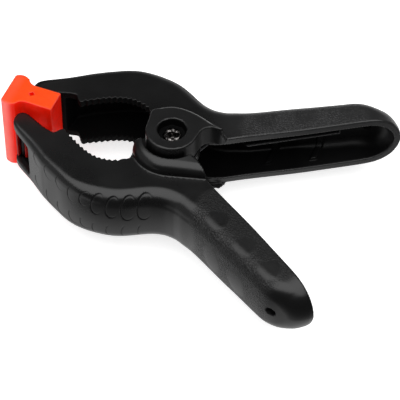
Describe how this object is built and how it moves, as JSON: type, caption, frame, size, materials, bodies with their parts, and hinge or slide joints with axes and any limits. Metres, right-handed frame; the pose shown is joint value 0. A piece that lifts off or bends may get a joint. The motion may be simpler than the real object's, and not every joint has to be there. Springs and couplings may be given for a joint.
{
  "type": "spring clamp",
  "caption": "Plastic spring clamp with crossed channel arms, serrated throat, swivelling jaw pads, riveted pivot and a torsion spring that keeps the jaw shut.",
  "frame": {"origin": "on the surface the clamp lies on, under the middle of its bounding box; the pivot axis stands 3.6 mm towards the jaw from it", "axes": "+Z along the pivot axis, up from the ear face it lies on; +X towards the handles' ends; +Y towards the handle of the moving (upper) arm"},
  "size_m": [0.1473, 0.1058, 0.0442],
  "materials": {
    "nylon": "black glass-filled nylon, leather grain with satin ovals",
    "pad": "satin orange non-marring plastic",
    "pin": "bright drawn steel",
    "spring": "zinc plated spring wire",
    "rivet": "zinc plated steel"
  },
  "bodies": {
    "lower_arm": {"lower_arm": "nylon", "torsion_spring": "spring", "pivot_rivet": "rivet", "rivet_washer": "rivet"},
    "upper_arm": {"upper_arm": "nylon"},
    "upper_pad": {"upper_pad": "pad", "upper_pad_pin": "pin"},
    "lower_pad": {"lower_pad": "pad", "lower_pad_pin": "pin"}
  },
  "joints": [
    {"name": "jaw_open", "type": "hinge", "parent": "lower_arm", "child": "upper_arm", "pos_m": [-0.0036, 0, 0.0221], "axis": [0, 0, -1], "range_deg": [0, 51.5], "stiffness_Nm_per_rad": 0.9, "springref_deg": -57.3, "deforming": ["torsion_spring"]},
    {"name": "upper_pad_swivel", "type": "hinge", "parent": "upper_arm", "child": "upper_pad", "pos_m": [-0.0639, 0.0089, 0.0221], "axis": [0, 0, 1], "range_deg": [0, 25.75]},
    {"name": "lower_pad_swivel", "type": "hinge", "parent": "lower_arm", "child": "lower_pad", "pos_m": [-0.0639, -0.0089, 0.0221], "axis": [0, 0, -1], "range_deg": [0, 25.75]}
  ],
  "couplings": [
    {"joint": "upper_pad_swivel", "follows": "jaw_open", "ratio": 0.5},
    {"joint": "lower_pad_swivel", "follows": "jaw_open", "ratio": 0.5}
  ]
}
